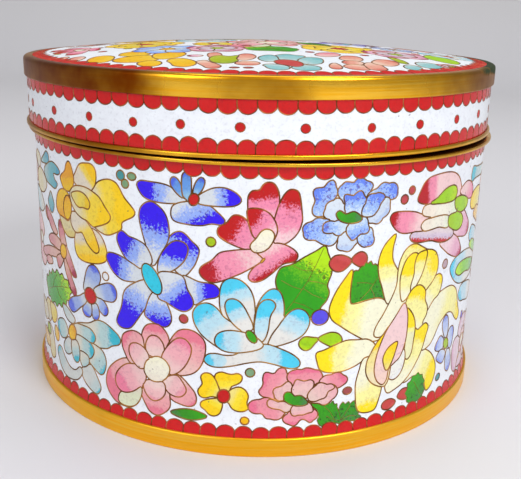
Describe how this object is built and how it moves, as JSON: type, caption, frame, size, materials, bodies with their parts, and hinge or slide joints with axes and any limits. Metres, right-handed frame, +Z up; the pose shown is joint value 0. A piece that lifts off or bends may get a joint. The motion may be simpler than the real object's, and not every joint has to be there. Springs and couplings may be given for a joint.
{
  "type": "cloisonne enamel box",
  "caption": "Round cloisonne enamel box on a brass foot ring, with a brass mouth rim and a low-domed lid that lifts off.",
  "frame": {"origin": "centre of the foot ring's underside, on the cup's axis", "axes": "+Z up along the cup's axis; -X towards the side where the lid touches the mouth rim, +X towards the side where it stands a little open"},
  "size_m": [0.1151, 0.1146, 0.0825],
  "materials": {
    "white_enamel": "gloss",
    "gilt_brass": "satin"
  },
  "bodies": {
    "root": {"box_foot_ring": "gilt_brass", "box_cup": "white_enamel", "box_mouth_rim": "gilt_brass", "lid_rim": "gilt_brass", "lid_cap": "white_enamel", "lid_shoulder_band": "gilt_brass"}
  },
  "joints": []
}
